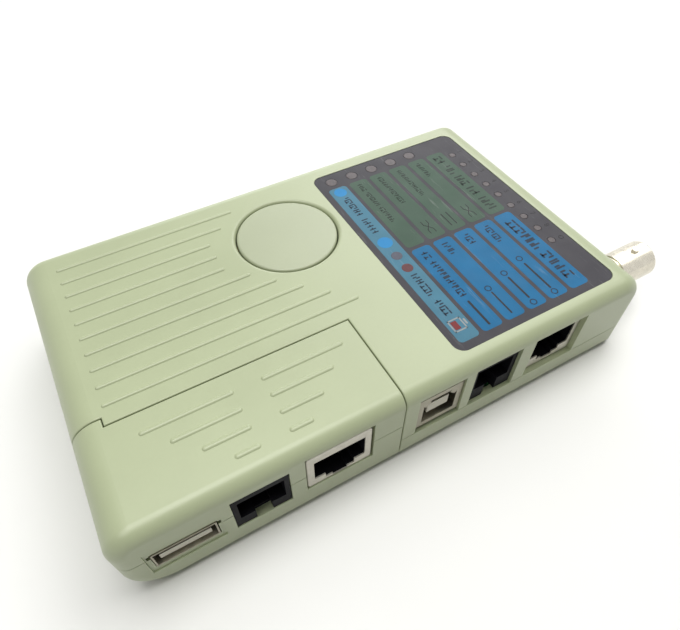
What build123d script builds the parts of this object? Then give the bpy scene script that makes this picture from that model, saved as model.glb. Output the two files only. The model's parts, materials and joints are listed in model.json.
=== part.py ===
"""Two-piece network cable tester: a master unit with a remote unit docked in its front left quarter.

Millimetres.  X runs along the length (connector end at +X), Y runs to the back, Z is up.
The origin is the centre of the underside.
"""
import os

from build123d import *

os.makedirs("parts", exist_ok=True)

# ---------------------------------------------------------------- case
LENGTH = 130.0
WIDTH = 78.0
HEIGHT = 25.0
WALL = 2.0
END_TOP_R = 6.0
LEFT_BOTTOM_R = 10.0
RIGHT_BOTTOM_R = 14.5
SIDE_R = 3.2
X_END = LENGTH / 2
Y_FRONT = -WIDTH / 2
Y_BACK = WIDTH / 2

# ---------------------------------------------------------------- dock for the remote
DOCK_X = -3.7
DOCK_Y = -15.0
SHOULDER_X = -57.8
SHOULDER_Y = -13.0
DOCK_GAP = 0.1
MASTER_SPLIT_Z = 8.2
REMOTE_SPLIT_Z = 14.7
SEAM_ROUND = 0.3
PARTING_WIDTH = 0.2
PARTING_DEPTH = 0.2

RAIL_X0 = -55.0
RAIL_X1 = -8.0
RAIL_Z = 11.5
RAIL_NECK_H = 2.6
RAIL_HEAD_H = 5.2
RAIL_NECK_Y = -17.5
RAIL_HEAD_Y = -19.4
RAIL_CLEARANCE = 0.3

# ---------------------------------------------------------------- raised ribs
RIB_HEIGHT = 0.28
RIB_ROOT = 0.6
RIB_CREST = 0.06
MASTER_RIB_W = 1.3
MASTER_RIB_X0 = -57.2
MASTER_RIB_Y0 = -10.4
MASTER_RIB_PITCH = 4.68
MASTER_RIB_COUNT = 10
MASTER_RIB_SHORT_X = -21.6
REMOTE_RIB_W = 1.6
REMOTE_RIB_Y0 = -20.0
REMOTE_RIB_PITCH = 4.43
REMOTE_RIB_COUNT = 4
REMOTE_RIB_LEFT = (-52.6, -32.8)
REMOTE_RIB_RIGHT = (-27.2, -7.8)

# ---------------------------------------------------------------- test button and its switch
BUTTON_X = -3.3
BUTTON_Y = 16.7
BUTTON_R = 12.75
BUTTON_WELL_R = 13.02
BUTTON_WELL_ROUND = 0.9
BUTTON_TOP_Z = 24.85
BUTTON_THICK = 1.8
BUTTON_SKIRT_H = 2.6
BUTTON_TRAVEL = 1.0
SWITCH_SIDE = 6.0
SWITCH_H = 5.0
PLUNGER_R = 1.75
PLUNGER_BORE_R = 1.82

# ---------------------------------------------------------------- label and lamps
LABEL_X = 35.25
LABEL_Y = -0.8
LABEL_L = 46.2
LABEL_W = 68.0
LABEL_T = 0.4
LABEL_R = 2.6
LABEL_RECESS = 0.5
LABEL_GAP = 0.1
LAMP_TOP_Z = 24.95
MODE_LAMP_R = 1.6
MODE_LAMP_Y = 29.7
MODE_LAMP_X = 29.58
MODE_LAMP_PITCH = 6.44
PIN_LAMP_R = 1.0
PIN_LAMP_X = 53.7
PIN_LAMP_Y = 3.0
PIN_LAMP_PITCH = 5.18
POWER_LAMP_R = 1.5
POWER_LAMP_X = 16.7
POWER_LAMP_Y = -5.8
POWER_LAMP_PITCH = 4.7
LAMP_HOLE_GAP = 0.05
LAMP_ROUND = 0.2

# ---------------------------------------------------------------- boards
BOARD_T = 1.6
MASTER_BOARD_Z = 6.8
REMOTE_BOARD_Z = 6.0
MASTER_TOP_OF_BOARD = MASTER_BOARD_Z + BOARD_T
REMOTE_TOP_OF_BOARD = REMOTE_BOARD_Z + BOARD_T

# ---------------------------------------------------------------- modular jacks
PHONE_W = 12.4
REMOTE_PHONE_W = 11.9
PHONE_DEPTH = 14.5
PHONE_OPEN_W = 9.8
PHONE_OPEN_H = 6.8
PHONE_LATCH_W = 3.6
PHONE_PINS = 4
PHONE_PIN_PITCH = 1.02
NET_W = 15.2
NET_DEPTH = 16.0
NET_OPEN_W = 11.8
NET_OPEN_H = 7.2
NET_LATCH_W = 6.8
NET_LATCH_STEP_W = 3.4
NET_PINS = 8
NET_PIN_PITCH = 1.02
JACK_CAVITY = 12.0
JACK_LIP = 1.7
SHIELD_SHEET = 0.3
SHIELD_BEND = 0.6
SHIELD_FOLD = 0.4
PIN_T = 0.4
PIN_DROP = 1.9

MASTER_PHONE_X = 20.8
MASTER_PHONE_H = 13.2
MASTER_PHONE_FACE = 0.8
MASTER_NET_X = 38.8
MASTER_NET_H = 13.2
MASTER_NET_FACE = 1.2
REMOTE_PHONE_X = -36.4
REMOTE_PHONE_Z = 8.2
REMOTE_PHONE_H = 12.0
REMOTE_PHONE_FACE = 0.2
REMOTE_NET_X = -19.1
REMOTE_NET_Z = 8.7
REMOTE_NET_H = 12.0
REMOTE_NET_FACE = 0.2

# ---------------------------------------------------------------- universal serial bus sockets
USB_A_X = -52.2
USB_A_Z = 12.7
USB_A_W = 12.8
USB_A_H = 5.7
USB_A_DEPTH = 14.0
USB_A_TONGUE_W = 10.2
USB_A_TONGUE_T = 1.85
USB_A_TONGUE_LIFT = 1.6
USB_A_GAP = 0.2
USB_A_EAR = 0.85
USB_B_X = 5.8
USB_B_Z0 = 9.4
USB_B_W = 11.6
USB_B_H = 10.8
USB_B_DEPTH = 16.0
USB_B_FACE = 0.5
USB_B_OPEN_W = 8.6
USB_B_OPEN_H = 7.9
USB_SHEET = 0.35

# ---------------------------------------------------------------- coaxial connector
BNC_Y = -27.5
BNC_Z = 14.0
BNC_BARREL_R = 4.83
BNC_THREAD_R = 4.76
BNC_THREAD_PITCH = 0.8
BNC_THREAD_DEPTH = 0.45
BNC_BORE_R = 4.1
BNC_REACH = 15.6
BNC_NECK = 4.8
BNC_LUG_R = 0.95
BNC_LUG_REACH = 5.5
BNC_LUG_SETBACK = 4.6
BNC_LUG_ANGLE = 0.0
BNC_BASE = 11.5
BNC_BASE_X1 = 61.0

# ---------------------------------------------------------------- battery and its door
BATTERY_L = 48.5
BATTERY_W = 26.2
BATTERY_H = 16.8
BATTERY_X0 = -59.4
BATTERY_Y = 21.2
BATTERY_Z0 = 3.5
DOOR_X1 = -9.0
DOOR_Y0 = 7.0
DOOR_Y1 = 35.4
DOOR_TOP_Z = 5.0
DOOR_GAP = 0.15
DOOR_TONGUE = 0.8

# ---------------------------------------------------------------- fasteners
SCREW_R = 1.3
SCREW_HEAD_R = 2.3
SCREW_HEAD_H = 1.4
SCREW_HEAD_Z = 2.2
SCREW_L = 11.0
BOSS_R = 3.0
MASTER_SCREWS = [(52.0, 32.5), (47.0, -17.0), (4.0, 32.5), (7.0, -13.0)]
REMOTE_SCREWS = [(-59.0, -20.5), (-8.6, -30.5)]


def box(x0, x1, y0, y1, z0, z1):
    """Plain block between two corners."""
    with BuildPart() as block:
        with Locations(((x0 + x1) / 2, (y0 + y1) / 2, (z0 + z1) / 2)):
            Box(x1 - x0, y1 - y0, z1 - z0)
    return block.part


def case_body(inset):
    """Whole outer form of the docked pair, shrunk by inset on every side."""
    with BuildPart() as body:
        with BuildSketch(Plane.XZ):
            with Locations((0, HEIGHT / 2)):
                Rectangle(LENGTH - 2 * inset, HEIGHT - 2 * inset)
            low_left, low_right = vertices().sort_by(Axis.Y)[:2].sort_by(Axis.X)
            fillet(low_left, LEFT_BOTTOM_R - inset)
            fillet(low_right, RIGHT_BOTTOM_R - inset)
            fillet(vertices().sort_by(Axis.Y)[-2:], END_TOP_R - inset)
        extrude(amount=WIDTH / 2 - inset, both=True)
        ends = faces().sort_by(Axis.Y)
        fillet(ends[0].edges() + ends[-1].edges(), SIDE_R - inset)
    return body.part


def dock_block(grow):
    """Space taken by the remote, enlarged by grow on the master's side."""
    with BuildPart() as space:
        add(box(-80, DOCK_X + grow, -50, DOCK_Y + grow, -5, 35))
        add(box(-80, SHOULDER_X + grow, -50, SHOULDER_Y + grow, -5, 35))
    return space.part


def seam_edges(solid, grow):
    """Outer edges of a case half along its vertical faces at the dock, which the seam rounds off."""
    lines = (
        (0, DOCK_X + grow),
        (1, DOCK_Y + grow),
        (0, SHOULDER_X + grow),
        (1, SHOULDER_Y + grow),
    )
    chosen = []
    for edge in solid.edges():
        low, high = tuple(edge.bounding_box().min), tuple(edge.bounding_box().max)
        upright = high[0] - low[0] < 0.01 and high[1] - low[1] < 0.01
        hidden = upright and low[1] > Y_FRONT + 1 and low[0] > -X_END + 1
        flat = any(abs(low[k] - at) < 0.01 and abs(high[k] - at) < 0.01 for k, at in lines)
        if flat and not hidden:
            chosen.append(edge)
    return chosen


def parting_groove(z, solid):
    """Shallow groove in the outer skin where two half shells meet, cut from solid."""
    with BuildPart() as ring:
        add(box(-80, 80, -50, 50, z - PARTING_WIDTH / 2, z + PARTING_WIDTH / 2))
        add(case_body(PARTING_DEPTH), mode=Mode.SUBTRACT)
    with BuildPart() as grooved:
        add(solid)
        add(ring.part, mode=Mode.SUBTRACT)
    return grooved.part


def front_window(x, width, z0, z1, depth=WALL + 1.0):
    """Block that opens the front wall."""
    return box(x - width / 2, x + width / 2, Y_FRONT - 1, Y_FRONT + depth, z0, z1)


def slot_rib(x0, x1, y, width):
    """One low rounded rib on the top face."""
    with BuildPart() as rib:
        with BuildSketch(Plane.XY.offset(HEIGHT - RIB_ROOT)):
            with Locations(((x0 + x1) / 2, y)):
                SlotOverall(x1 - x0, width)
        extrude(amount=RIB_HEIGHT + RIB_ROOT)
        fillet(faces().sort_by(Axis.Z)[-1].edges(), (width - RIB_CREST) / 2)
    return rib.part


def jack_body(x, z0, height, face, width, depth, opening, floor, latch, through, foot_z):
    """Modular jack housing with its plug cavity and latch channel, opening at the front."""
    open_w, open_h = opening
    y0 = Y_FRONT + face
    z_open = z0 + floor
    with BuildPart() as jack:
        add(box(x - width / 2, x + width / 2, y0, y0 + depth, z0, z0 + height))
        fillet(edges().filter_by(Axis.Y), 0.4)
        add(
            box(x - open_w / 2, x + open_w / 2, y0 - 1, y0 + JACK_CAVITY, z_open, z_open + open_h),
            mode=Mode.SUBTRACT,
        )
        y_latch = y0 + JACK_CAVITY - 1
        for step_w, step_h in latch:
            add(
                box(x - step_w / 2, x + step_w / 2, y0 - 1, y_latch, z_open - step_h, z_open + 1),
                mode=Mode.SUBTRACT,
            )
        if foot_z < z0:
            for side in (-1, 1):
                foot_x = x + side * (width / 2 - 2)
                add(box(foot_x - 1, foot_x + 1, y0 + 5, y0 + 7, foot_z, z0 + 1))
        if through:
            add(
                box(x - latch[0][0] / 2, x + latch[0][0] / 2, y0 - 1, y0 + JACK_LIP, z0 - 1, z_open + 1),
                mode=Mode.SUBTRACT,
            )
    return jack.part


def jack_shield(x, z0, height, face, opening, floor, latch, leg_z):
    """Folded sheet round a network jack: front plate with the plug opening, roof, cheeks and legs."""
    open_w, open_h = opening
    y0 = Y_FRONT + face
    y1 = y0 + NET_DEPTH - 1.0
    z_open = z0 + floor
    with BuildPart() as shield:
        add(box(x - NET_W / 2, x + NET_W / 2, y0, y1, z0, z0 + height))
        fillet(edges().filter_by(Axis.Y), SHIELD_BEND)
        fillet(faces().sort_by(Axis.Y)[0].edges(), SHIELD_FOLD)
        add(
            box(
                x - NET_W / 2 + SHIELD_SHEET,
                x + NET_W / 2 - SHIELD_SHEET,
                y0 + SHIELD_SHEET,
                y1 + 1,
                z0 - 1,
                z0 + height - SHIELD_SHEET,
            ),
            mode=Mode.SUBTRACT,
        )
        add(
            box(x - open_w / 2, x + open_w / 2, y0 - 1, y0 + 1, z_open, z_open + open_h),
            mode=Mode.SUBTRACT,
        )
        for step_w, step_h in latch:
            add(
                box(x - step_w / 2, x + step_w / 2, y0 - 1, y0 + 1, z_open - step_h, z_open + 1),
                mode=Mode.SUBTRACT,
            )
        if leg_z < z0:
            for side in (-1, 1):
                inner = x + side * (NET_W / 2 - SHIELD_SHEET)
                outer_x = x + side * NET_W / 2
                add(box(min(inner, outer_x), max(inner, outer_x), y0 + 9, y0 + 12, leg_z, z0 + 1))
    return shield.part


def jack_contacts(x, z_top, face, count, pitch):
    """Row of sprung contact wires slanting down from the front lip of a jack cavity."""
    y0 = Y_FRONT + face
    with BuildPart() as wires:
        with BuildSketch(Plane.YZ.offset(x)):
            with BuildLine():
                Polyline(
                    (y0 + 3.0, z_top - 0.05),
                    (y0 + 10.5, z_top - PIN_DROP),
                    (y0 + 10.5, z_top - PIN_DROP - PIN_T),
                    (y0 + 3.0, z_top - 0.05 - PIN_T),
                    close=True,
                )
            make_face()
        extrude(amount=PIN_T / 2, both=True)
    first = -(count - 1) * pitch / 2
    with BuildPart() as row:
        with Locations(*[(first + index * pitch, 0, 0) for index in range(count)]):
            add(wires.part)
    return row.part


def lamp(radius, z_flange):
    """Round lamp with a domed lens, flange and two legs, standing on the master board."""
    with BuildPart() as one:
        with BuildSketch(Plane.XY.offset(z_flange)):
            Circle(radius + 0.4)
        extrude(amount=1.0)
        with BuildSketch(Plane.XY.offset(z_flange + 1.0)):
            Circle(radius)
        extrude(amount=LAMP_TOP_Z - z_flange - 1.0)
        fillet(faces().sort_by(Axis.Z)[-1].edges(), LAMP_ROUND)
        with BuildSketch(Plane.XY.offset(MASTER_TOP_OF_BOARD)):
            with Locations((0, radius * 0.5), (0, -radius * 0.5)):
                Rectangle(0.5, 0.5)
        extrude(amount=z_flange - MASTER_TOP_OF_BOARD)
    return one.part


def screw_set(points, head_z, length):
    """Pan-head screws driven upward from the underside."""
    with BuildPart() as screws:
        for x, y in points:
            with BuildSketch(Plane.XY.offset(head_z)):
                with Locations((x, y)):
                    Circle(SCREW_HEAD_R)
            extrude(amount=SCREW_HEAD_H)
            with BuildSketch(Plane.XY.offset(head_z)):
                with Locations((x, y)):
                    Rectangle(3.0, 0.6)
                    Rectangle(0.6, 3.0)
            extrude(amount=0.7, mode=Mode.SUBTRACT)
            with BuildSketch(Plane.XY.offset(head_z + SCREW_HEAD_H)):
                with Locations((x, y)):
                    Circle(SCREW_R)
            extrude(amount=length)
    return screws.part


def boss(x, y, radius, z0, z1):
    """Round pillar."""
    with BuildPart() as pillar:
        with BuildSketch(Plane.XY.offset(z0)):
            with Locations((x, y)):
                Circle(radius)
        extrude(amount=z1 - z0)
    return pillar.part


outer = case_body(0)
inner_skin = case_body(WALL / 4)
cavity = case_body(WALL)

# ================================================================ master case
master_gap = dock_block(DOCK_GAP)
master_inner_wall = dock_block(DOCK_GAP + WALL)

with BuildPart() as master_case:
    add(outer)
    add(master_gap, mode=Mode.SUBTRACT)
    fillet(seam_edges(master_case.part, DOCK_GAP), SEAM_ROUND)
master_outer = parting_groove(MASTER_SPLIT_Z, master_case.part)

with BuildPart() as master_room:
    add(cavity)
    add(master_inner_wall, mode=Mode.SUBTRACT)
master_hollow = master_room.part

mode_lamp_spots = [(MODE_LAMP_X + (i - 2) * MODE_LAMP_PITCH, MODE_LAMP_Y) for i in range(5)]
pin_lamp_spots = [(PIN_LAMP_X, PIN_LAMP_Y + (i - 4) * PIN_LAMP_PITCH) for i in range(9)]
power_lamp_spots = [(POWER_LAMP_X, POWER_LAMP_Y + (i - 0.5) * POWER_LAMP_PITCH) for i in range(2)]
lamp_sets = [(mode_lamp_spots, MODE_LAMP_R), (pin_lamp_spots, PIN_LAMP_R), (power_lamp_spots, POWER_LAMP_R)]

screw_top_z = SCREW_HEAD_Z + SCREW_HEAD_H + SCREW_L

with BuildPart() as bnc_cut:
    with BuildSketch(Plane.YZ.offset(BNC_BASE_X1 - 1)):
        with Locations((BNC_Y, BNC_Z)):
            Circle(BNC_THREAD_R + 0.1)
    extrude(amount=X_END - BNC_BASE_X1 + 3)
bnc_hole = bnc_cut.part

with BuildPart() as master_top_shell:
    add(master_outer)
    add(box(-70, 70, -45, 45, -5, MASTER_SPLIT_Z), mode=Mode.SUBTRACT)
    add(master_hollow, mode=Mode.SUBTRACT)
    # pillars that the case screws bite into
    for px, py in MASTER_SCREWS:
        add(boss(px, py, BOSS_R, MASTER_TOP_OF_BOARD, HEIGHT - 1.0))
        add(boss(px, py, SCREW_R, MASTER_TOP_OF_BOARD - 1, screw_top_z + 0.5), mode=Mode.SUBTRACT)
    # rail that the remote slides on
    neck_z = RAIL_NECK_H / 2
    head_z = RAIL_HEAD_H / 2
    add(box(RAIL_X0, RAIL_X1, RAIL_NECK_Y, DOCK_Y + 1, RAIL_Z - neck_z, RAIL_Z + neck_z))
    add(box(RAIL_X0, RAIL_X1, RAIL_HEAD_Y, RAIL_NECK_Y, RAIL_Z - head_z, RAIL_Z + head_z))
    # front wall windows
    add(front_window(USB_B_X, USB_B_W + 0.4, MASTER_SPLIT_Z - 1, 21.6), mode=Mode.SUBTRACT)
    add(front_window(MASTER_PHONE_X, PHONE_W + 0.4, MASTER_SPLIT_Z - 1, 21.9), mode=Mode.SUBTRACT)
    add(front_window(MASTER_NET_X, NET_W + 0.4, MASTER_SPLIT_Z - 1, 21.9), mode=Mode.SUBTRACT)
    # hole for the coaxial connector in the right end
    add(bnc_hole, mode=Mode.SUBTRACT)
    # recess for the printed sheet and the holes of the lamps
    with BuildSketch(Plane.XY.offset(HEIGHT - LABEL_RECESS)):
        with Locations((LABEL_X, LABEL_Y)):
            RectangleRounded(LABEL_L + 2 * LABEL_GAP, LABEL_W + 2 * LABEL_GAP, LABEL_R + LABEL_GAP)
    extrude(amount=LABEL_RECESS + 1, mode=Mode.SUBTRACT)
    for spots, radius in lamp_sets:
        with BuildSketch(Plane.XY.offset(HEIGHT - WALL - 1)):
            with Locations(*spots):
                Circle(radius + LAMP_HOLE_GAP)
        extrude(amount=WALL + 2, mode=Mode.SUBTRACT)
    # well of the test button with a softened rim
    with BuildSketch(Plane.XY.offset(HEIGHT - WALL - 1)):
        with Locations((BUTTON_X, BUTTON_Y)):
            Circle(BUTTON_WELL_R)
    extrude(amount=WALL + 2, mode=Mode.SUBTRACT)
    rim = edges().filter_by(GeomType.CIRCLE)
    rim = rim.filter_by(lambda e: abs(e.radius - BUTTON_WELL_R) < 0.01 and abs(e.center().Z - HEIGHT) < 0.01)
    fillet(rim, BUTTON_WELL_ROUND)
    # ribs
    for index in range(MASTER_RIB_COUNT):
        steps = max(5 - index, index - 7, 0)
        rib_end = MASTER_RIB_SHORT_X + MASTER_RIB_PITCH * steps
        rib_y = MASTER_RIB_Y0 + MASTER_RIB_PITCH * index
        add(slot_rib(MASTER_RIB_X0, rib_end, rib_y, MASTER_RIB_W))
master_top_shell.part.label = "master_top_shell"

# opening of the battery bay, shared by the lower shell and its door
with BuildPart() as door_cut:
    add(box(-80, DOOR_X1, DOOR_Y0, DOOR_Y1, -5, DOOR_TOP_Z))
    add(box(DOOR_X1 - 1, DOOR_X1 + DOOR_TONGUE, DOOR_Y0, DOOR_Y1, 0.9, DOOR_TOP_Z - 1))
door_opening = door_cut.part

# pillars and the long wall beside the battery, kept inside the rounded lower edges
with BuildPart() as master_uprights:
    for px, py in MASTER_SCREWS:
        add(boss(px, py, BOSS_R, 1.0, MASTER_BOARD_Z))
    add(box(-60.0, DOCK_X - 3, 4.6, 5.8, 1.0, MASTER_SPLIT_Z))
    add(inner_skin, mode=Mode.INTERSECT)

with BuildPart() as master_bottom_shell:
    add(master_outer)
    add(box(-70, 70, -45, 45, MASTER_SPLIT_Z, 35), mode=Mode.SUBTRACT)
    add(master_hollow, mode=Mode.SUBTRACT)
    add(master_uprights.part)
    for px, py in MASTER_SCREWS:
        add(boss(px, py, SCREW_R + 0.2, -1.0, MASTER_BOARD_Z + 1), mode=Mode.SUBTRACT)
        add(boss(px, py, SCREW_HEAD_R + 0.2, -1.0, SCREW_HEAD_Z + SCREW_HEAD_H), mode=Mode.SUBTRACT)
    add(door_opening, mode=Mode.SUBTRACT)
    add(bnc_hole, mode=Mode.SUBTRACT)
master_bottom_shell.part.label = "master_bottom_shell"

# ================================================================ battery door
with BuildPart() as door_zone:
    add(box(-80, DOOR_X1 - DOOR_GAP, DOOR_Y0 + DOOR_GAP, DOOR_Y1 - DOOR_GAP, -5, DOOR_TOP_Z - DOOR_GAP))
    add(
        box(
            DOOR_X1 - 1,
            DOOR_X1 + DOOR_TONGUE - DOOR_GAP,
            DOOR_Y0 + DOOR_GAP,
            DOOR_Y1 - DOOR_GAP,
            0.9 + DOOR_GAP,
            WALL,
        )
    )
door_limits = door_zone.part

with BuildPart() as battery_door:
    add(outer)
    add(door_limits, mode=Mode.INTERSECT)
    add(cavity, mode=Mode.SUBTRACT)
    # ledges that carry the battery
    for y in (BATTERY_Y - 9.0, BATTERY_Y + 9.0):
        add(box(-54.0, -14.0, y - 0.8, y + 0.8, WALL - 0.2, BATTERY_Z0 - 0.05))
    # finger grooves
    for index in range(5):
        with BuildSketch(Plane.XY.offset(-1.0)):
            with Locations((-50.0 + 2.4 * index, (DOOR_Y0 + DOOR_Y1) / 2)):
                SlotOverall(14.0, 1.2, rotation=90)
        extrude(amount=1.6, mode=Mode.SUBTRACT)
battery_door.part.label = "battery_door"

# ================================================================ label
with BuildPart() as label_overlay:
    with BuildSketch(Plane.XY.offset(HEIGHT - LABEL_RECESS)):
        with Locations((LABEL_X, LABEL_Y)):
            RectangleRounded(LABEL_L, LABEL_W, LABEL_R)
        for spots, radius in lamp_sets:
            with Locations(*spots):
                Circle(radius + LAMP_HOLE_GAP, mode=Mode.SUBTRACT)
    extrude(amount=LABEL_T)
label_overlay.part.label = "label_overlay"

# ================================================================ test button and switch
plunger_top_z = BUTTON_TOP_Z - BUTTON_THICK
switch_top_z = MASTER_TOP_OF_BOARD + SWITCH_H

with BuildPart() as test_button:
    with BuildSketch(Plane.XY.offset(BUTTON_TOP_Z - BUTTON_THICK)):
        with Locations((BUTTON_X, BUTTON_Y)):
            Circle(BUTTON_R)
    extrude(amount=BUTTON_THICK)
    fillet(faces().sort_by(Axis.Z)[-1].edges(), 0.6)
    with BuildSketch(Plane.XY.offset(BUTTON_TOP_Z - BUTTON_THICK)):
        with Locations((BUTTON_X, BUTTON_Y)):
            Circle(BUTTON_R - 2.0)
            Circle(BUTTON_R - 3.2, mode=Mode.SUBTRACT)
            Rectangle(2 * BUTTON_R - 5.0, 1.0)
            Rectangle(1.0, 2 * BUTTON_R - 5.0)
            Circle(PLUNGER_R + 1.2)
    extrude(amount=-0.9)
    with BuildSketch(Plane.XY.offset(BUTTON_TOP_Z - BUTTON_THICK - 0.9)):
        with Locations((BUTTON_X, BUTTON_Y)):
            Circle(PLUNGER_R)
    extrude(amount=0.9, mode=Mode.SUBTRACT)
test_button.part.label = "test_button"

with BuildPart() as switch_body:
    add(
        box(
            BUTTON_X - SWITCH_SIDE / 2,
            BUTTON_X + SWITCH_SIDE / 2,
            BUTTON_Y - SWITCH_SIDE / 2,
            BUTTON_Y + SWITCH_SIDE / 2,
            MASTER_TOP_OF_BOARD,
            switch_top_z,
        )
    )
    fillet(edges().filter_by(Axis.Z), 0.4)
    with BuildSketch(Plane.XY.offset(MASTER_TOP_OF_BOARD + 1.0)):
        with Locations((BUTTON_X, BUTTON_Y)):
            Circle(PLUNGER_BORE_R)
    extrude(amount=SWITCH_H, mode=Mode.SUBTRACT)
    with BuildSketch(Plane.XY.offset(switch_top_z)):
        with Locations((BUTTON_X, BUTTON_Y)):
            with GridLocations(SWITCH_SIDE - 1.4, SWITCH_SIDE - 1.4, 2, 2):
                Circle(0.45)
    extrude(amount=0.2)
switch_body.part.label = "switch_body"

with BuildPart() as switch_plunger:
    with BuildSketch(Plane.XY.offset(MASTER_TOP_OF_BOARD + 1.0 + BUTTON_TRAVEL + 0.3)):
        with Locations((BUTTON_X, BUTTON_Y)):
            Circle(PLUNGER_R)
    extrude(amount=plunger_top_z - MASTER_TOP_OF_BOARD - 1.3 - BUTTON_TRAVEL)
switch_plunger.part.label = "switch_plunger"

# ================================================================ lamps
lamp_parts = {}
for name, (spots, radius) in zip(("mode_lamps", "pin_lamps", "power_lamps"), lamp_sets):
    one_lamp = lamp(radius, HEIGHT - WALL - 4.0)
    with BuildPart() as lamp_row:
        with Locations(*[(x, y, 0) for x, y in spots]):
            add(one_lamp)
    lamp_parts[name] = lamp_row.part

# ================================================================ master board
BOARD_CLEAR = 0.4
board_x0 = DOCK_X + DOCK_GAP + WALL + BOARD_CLEAR
board_x1 = 59.8
board_y0 = Y_FRONT + WALL + BOARD_CLEAR
board_y1 = Y_BACK - WALL - BOARD_CLEAR

with BuildPart() as master_board:
    add(box(board_x0, board_x1, board_y0, board_y1, MASTER_BOARD_Z, MASTER_TOP_OF_BOARD))
    fillet(edges().filter_by(Axis.Z), 1.2)
    add(
        box(
            BUTTON_X - SWITCH_SIDE / 2 - 0.3,
            board_x0 + 1,
            BUTTON_Y - 9.0,
            BUTTON_Y + 9.0,
            MASTER_BOARD_Z,
            MASTER_TOP_OF_BOARD,
        )
    )
    for px, py in MASTER_SCREWS:
        add(boss(px, py, SCREW_R + 0.2, MASTER_BOARD_Z - 1, MASTER_TOP_OF_BOARD + 1), mode=Mode.SUBTRACT)
master_board.part.label = "master_board"

with BuildPart() as controller_chip:
    add(box(22.0, 34.0, -2.0, 10.0, MASTER_TOP_OF_BOARD + 0.3, MASTER_TOP_OF_BOARD + 2.3))
    fillet(edges().filter_by(Axis.Z), 0.4)
    with BuildSketch(Plane.XY.offset(MASTER_TOP_OF_BOARD)):
        with Locations((28.0, 4.0)):
            with GridLocations(1.27, 13.4, 9, 2):
                Rectangle(0.5, 1.5)
            with GridLocations(13.4, 1.27, 2, 9):
                Rectangle(1.5, 0.5)
    extrude(amount=0.5)
controller_chip.part.label = "controller_chip"

LOGIC_SPOTS = [(26.0, -11.0), (41.0, -11.0)]
with BuildPart() as logic_chips:
    with Locations(*[(x, y, MASTER_TOP_OF_BOARD + 0.95) for x, y in LOGIC_SPOTS]):
        Box(9.9, 3.9, 1.3)
    with BuildSketch(Plane.XY.offset(MASTER_TOP_OF_BOARD)):
        with Locations(*LOGIC_SPOTS):
            with GridLocations(1.27, 5.0, 7, 2):
                Rectangle(0.45, 1.2)
    extrude(amount=0.5)
logic_chips.part.label = "logic_chips"

# ================================================================ modular jacks
phone_latch = [(PHONE_LATCH_W, 3.6)]
net_latch = [(NET_LATCH_W, 1.5), (NET_LATCH_STEP_W, 2.3)]
remote_phone_latch = [(PHONE_LATCH_W, 2.0)]
phone_floor = 4.2
remote_phone_floor = 3.2
net_floor = 3.6
remote_net_floor = 2.6
NET_BODY_W = NET_W - 2 * SHIELD_SHEET
phone_open = (PHONE_OPEN_W, PHONE_OPEN_H)
net_open = (NET_OPEN_W, NET_OPEN_H)

jack_parts = {
    "phone_jack_body": jack_body(
        MASTER_PHONE_X, MASTER_TOP_OF_BOARD, MASTER_PHONE_H, MASTER_PHONE_FACE,
        PHONE_W, PHONE_DEPTH, phone_open, phone_floor, phone_latch, True, MASTER_TOP_OF_BOARD,
    ),
    "network_jack_body": jack_body(
        MASTER_NET_X, MASTER_TOP_OF_BOARD, MASTER_NET_H - SHIELD_SHEET, MASTER_NET_FACE + SHIELD_SHEET,
        NET_BODY_W, NET_DEPTH - SHIELD_SHEET, net_open, net_floor, net_latch, False, MASTER_TOP_OF_BOARD,
    ),
    "network_jack_shield": jack_shield(
        MASTER_NET_X, MASTER_TOP_OF_BOARD, MASTER_NET_H, MASTER_NET_FACE,
        net_open, net_floor, net_latch, MASTER_TOP_OF_BOARD,
    ),
    "remote_phone_jack_body": jack_body(
        REMOTE_PHONE_X, REMOTE_PHONE_Z, REMOTE_PHONE_H, REMOTE_PHONE_FACE,
        REMOTE_PHONE_W, PHONE_DEPTH, phone_open, remote_phone_floor, remote_phone_latch, True,
        REMOTE_TOP_OF_BOARD,
    ),
    "remote_network_jack_body": jack_body(
        REMOTE_NET_X, REMOTE_NET_Z, REMOTE_NET_H - SHIELD_SHEET, REMOTE_NET_FACE + SHIELD_SHEET,
        NET_BODY_W, NET_DEPTH - SHIELD_SHEET, net_open, remote_net_floor, net_latch, False,
        REMOTE_TOP_OF_BOARD,
    ),
    "remote_network_jack_shield": jack_shield(
        REMOTE_NET_X, REMOTE_NET_Z, REMOTE_NET_H, REMOTE_NET_FACE,
        net_open, remote_net_floor, net_latch, REMOTE_TOP_OF_BOARD,
    ),
}
phone_pins_z = MASTER_TOP_OF_BOARD + phone_floor + PHONE_OPEN_H
remote_phone_pins_z = REMOTE_PHONE_Z + remote_phone_floor + PHONE_OPEN_H
jack_parts["phone_jack_contacts"] = jack_contacts(
    MASTER_PHONE_X, phone_pins_z, MASTER_PHONE_FACE, PHONE_PINS, PHONE_PIN_PITCH
)
jack_parts["network_jack_contacts"] = jack_contacts(
    MASTER_NET_X, MASTER_TOP_OF_BOARD + net_floor + NET_OPEN_H, MASTER_NET_FACE, NET_PINS, NET_PIN_PITCH
)
jack_parts["remote_phone_jack_contacts"] = jack_contacts(
    REMOTE_PHONE_X, remote_phone_pins_z, REMOTE_PHONE_FACE, PHONE_PINS, PHONE_PIN_PITCH
)
jack_parts["remote_network_jack_contacts"] = jack_contacts(
    REMOTE_NET_X, REMOTE_NET_Z + remote_net_floor + NET_OPEN_H, REMOTE_NET_FACE, NET_PINS, NET_PIN_PITCH
)

# ================================================================ serial bus sockets
usb_b_y0 = Y_FRONT + USB_B_FACE
usb_b_z1 = USB_B_Z0 + USB_B_H

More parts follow.
